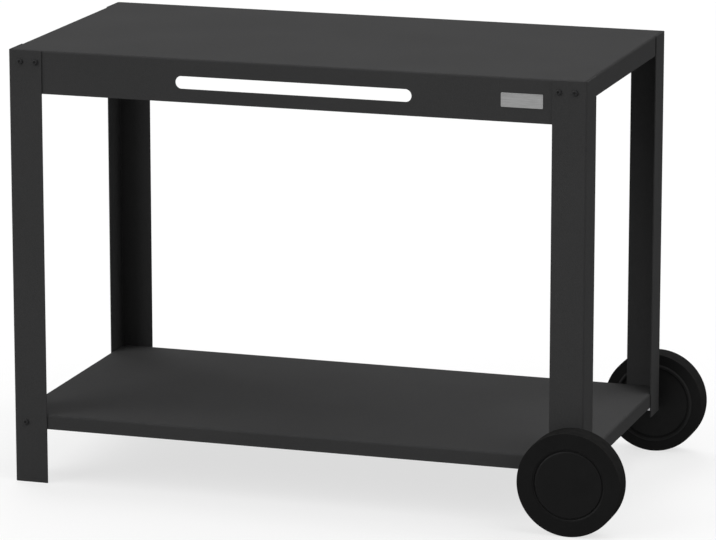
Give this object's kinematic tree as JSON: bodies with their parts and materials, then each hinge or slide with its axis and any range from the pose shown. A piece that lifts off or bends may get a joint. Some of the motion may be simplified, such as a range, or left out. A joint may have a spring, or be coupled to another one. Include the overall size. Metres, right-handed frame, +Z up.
{
  "type": "outdoor kitchen trolley",
  "caption": "Open steel serving trolley for an outdoor kitchen: folded worktop with a slotted front apron, lower shelf, angle legs, and wheels on stub axles at one end.",
  "frame": {"origin": "on the floor, under the middle of the outline (legs and wheels together)", "axes": "+X along the trolley towards its wheels, +Y from the slotted front to the back, +Z up"},
  "size_m": [1.107, 0.626, 0.77],
  "materials": {
    "powder_coat": "satin fine-textured black powder coat on folded steel sheet",
    "black_fastener": "black-plated steel",
    "zinc_steel": "bright zinc plate",
    "tyre_rubber": "matt black solid tyre",
    "wheel_plastic": "satin black moulding",
    "bush_nylon": "plain nylon",
    "bare_plate": "brushed bare plate"
  },
  "bodies": {
    "frame": {"top_tray": "powder_coat", "shelf_tray": "powder_coat", "front_left_leg": "powder_coat", "rear_left_leg": "powder_coat", "front_right_leg": "powder_coat", "rear_right_leg": "powder_coat", "top_screws": "black_fastener", "top_nuts": "zinc_steel", "shelf_screws": "black_fastener", "shelf_nuts": "zinc_steel", "front_axle_bolt": "zinc_steel", "front_axle_washers": "zinc_steel", "front_axle_jam_nut": "zinc_steel", "front_axle_lock_nuts": "zinc_steel", "rear_axle_bolt": "zinc_steel", "rear_axle_washers": "zinc_steel", "rear_axle_jam_nut": "zinc_steel", "rear_axle_lock_nuts": "zinc_steel"},
    "front_wheel": {"front_tyre": "tyre_rubber", "front_wheel_rim": "wheel_plastic", "front_wheel_bush": "bush_nylon", "front_hub_cap": "wheel_plastic"},
    "rear_wheel": {"rear_tyre": "tyre_rubber", "rear_wheel_rim": "wheel_plastic", "rear_wheel_bush": "bush_nylon", "rear_hub_cap": "wheel_plastic"}
  },
  "joints": [
    {"name": "front_wheel_spin", "type": "hinge", "parent": "frame", "child": "front_wheel", "pos_m": [0.4635, -0.292, 0.09], "axis": [0, 1, 0], "continuous": true},
    {"name": "rear_wheel_spin", "type": "hinge", "parent": "frame", "child": "rear_wheel", "pos_m": [0.4635, 0.292, 0.09], "axis": [0, 1, 0], "continuous": true}
  ]
}
